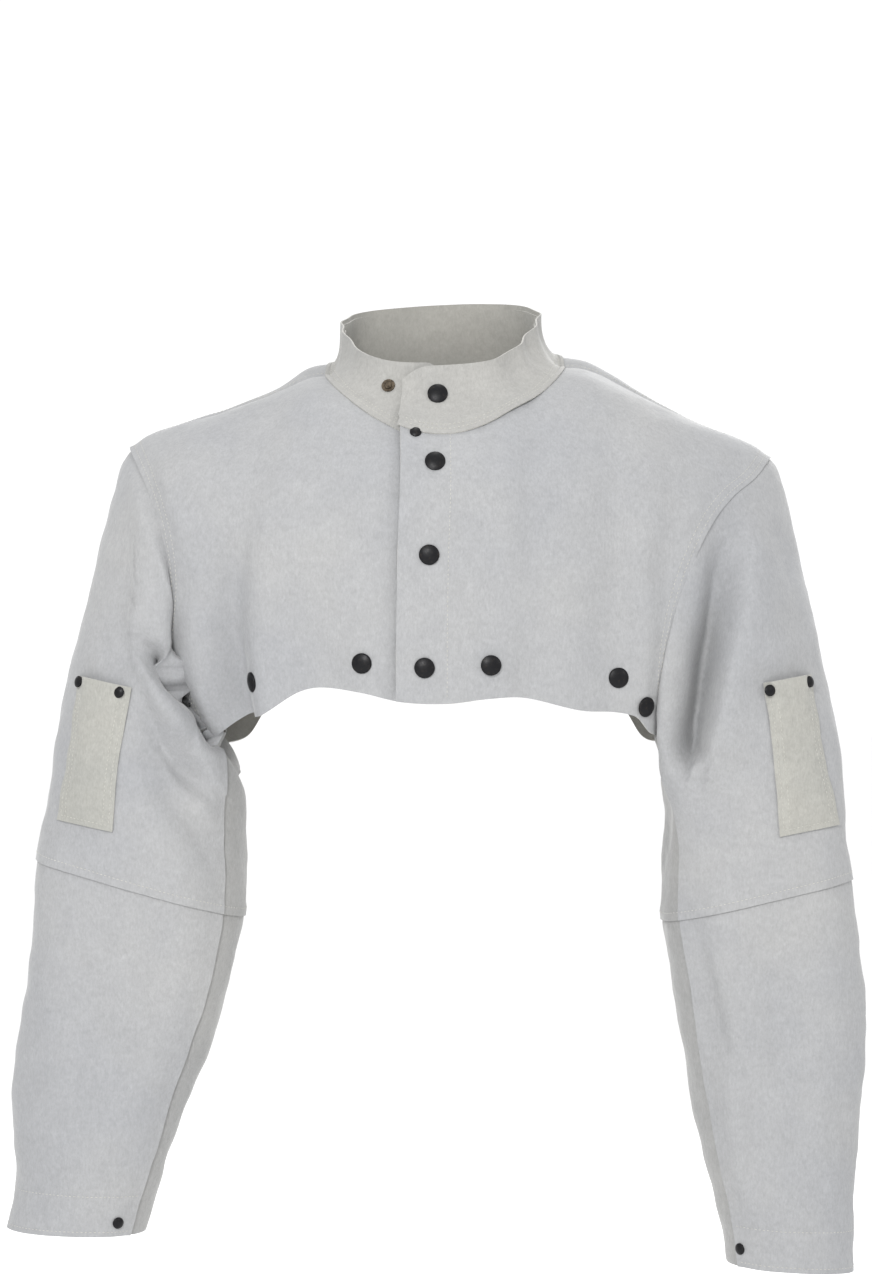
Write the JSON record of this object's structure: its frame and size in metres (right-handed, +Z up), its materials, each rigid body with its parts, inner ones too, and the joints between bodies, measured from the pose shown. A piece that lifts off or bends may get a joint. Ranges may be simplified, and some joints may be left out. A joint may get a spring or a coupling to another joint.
{
  "type": "leather welding jacket",
  "caption": "Short leather welding jacket with full-length sleeves, stand-up collar, overlapping snap front, sleeve pockets and a row of hem snaps for a bib.",
  "frame": {"origin": "centre of the neck opening, level with the shoulder end of the collar seam, where the wearer's neck and shoulders hold the jacket", "axes": "+Z up; the jacket faces -Y; +X is towards the wearer's left"},
  "size_m": [0.6901, 0.2365, 0.7852],
  "materials": {
    "leather": "matt split side out, soft short nap",
    "lining_leather": "matt, slightly warmer than the shell",
    "pocket_leather": "matt, warm grey, visible grain",
    "black_enamel": "satin black enamel on brass, lightly worn at the rim",
    "antique_brass": "dark antique brass"
  },
  "bodies": {
    "torso": {"back_panel": "leather", "collar_fold_strip": "leather", "collar_lining": "lining_leather", "collar_outer": "leather", "collar_snap_eyelets": "antique_brass", "collar_snap_studs": "antique_brass", "front_fold_strip": "leather", "front_snap_eyelets": "antique_brass", "front_snap_studs": "antique_brass", "hem_snap_caps": "black_enamel", "hem_snap_sockets": "antique_brass", "left_front_panel": "leather", "right_front_facing": "lining_leather", "right_front_panel": "leather"},
    "front_flap": {"left_front_flap": "leather", "left_front_facing": "lining_leather", "collar_overlap_outer": "leather", "collar_overlap_lining": "lining_leather", "front_snap_caps": "black_enamel", "front_snap_sockets": "antique_brass", "collar_snap_cap": "black_enamel", "collar_snap_socket": "antique_brass", "flap_hem_snap_cap": "black_enamel", "flap_hem_snap_socket": "antique_brass", "placket_rivet": "black_enamel", "placket_rivet_burr": "antique_brass"},
    "right_upper_sleeve": {"right_upper_sleeve_outer": "leather", "right_upper_sleeve_under": "leather", "right_sleeve_pocket": "pocket_leather", "right_pocket_rivets": "black_enamel", "right_pocket_rivet_burrs": "antique_brass"},
    "right_lower_sleeve": {"right_elbow_fold_outer": "leather", "right_elbow_fold_under": "leather", "right_lower_sleeve_outer": "leather", "right_lower_sleeve_under": "leather", "right_cuff_facing": "lining_leather", "right_cuff_rivet": "black_enamel", "right_cuff_rivet_burr": "antique_brass"},
    "left_upper_sleeve": {"left_upper_sleeve_outer": "leather", "left_upper_sleeve_under": "leather", "left_sleeve_pocket": "pocket_leather", "left_pocket_rivets": "black_enamel", "left_pocket_rivet_burrs": "antique_brass"},
    "left_lower_sleeve": {"left_elbow_fold_outer": "leather", "left_elbow_fold_under": "leather", "left_lower_sleeve_outer": "leather", "left_lower_sleeve_under": "leather", "left_cuff_facing": "lining_leather", "left_cuff_rivet": "black_enamel", "left_cuff_rivet_burr": "antique_brass"}
  },
  "joints": [
    {"name": "front_flap_open", "type": "hinge", "parent": "torso", "child": "front_flap", "pos_m": [0.086, -0.085, -0.111], "axis": [0, 0.1633, 0.9866], "range_deg": [0, 60], "deforming": ["front_fold_strip", "collar_fold_strip"]},
    {"name": "right_shoulder_raise", "type": "hinge", "parent": "torso", "child": "right_upper_sleeve", "pos_m": [-0.2535, 0, -0.057], "axis": [0, 1, 0], "range_deg": [0, 50]},
    {"name": "left_shoulder_raise", "type": "hinge", "parent": "torso", "child": "left_upper_sleeve", "pos_m": [0.262, 0, -0.0645], "axis": [0, -1, 0], "range_deg": [0, 50]},
    {"name": "right_elbow_bend", "type": "hinge", "parent": "right_upper_sleeve", "child": "right_lower_sleeve", "pos_m": [-0.26, -0.003, -0.47], "axis": [-1, 0, 0], "range_deg": [0, 60], "deforming": ["right_elbow_fold_outer", "right_elbow_fold_under"]},
    {"name": "left_elbow_bend", "type": "hinge", "parent": "left_upper_sleeve", "child": "left_lower_sleeve", "pos_m": [0.26, -0.003, -0.488], "axis": [-1, 0, 0], "range_deg": [0, 60], "deforming": ["left_elbow_fold_outer", "left_elbow_fold_under"]}
  ]
}
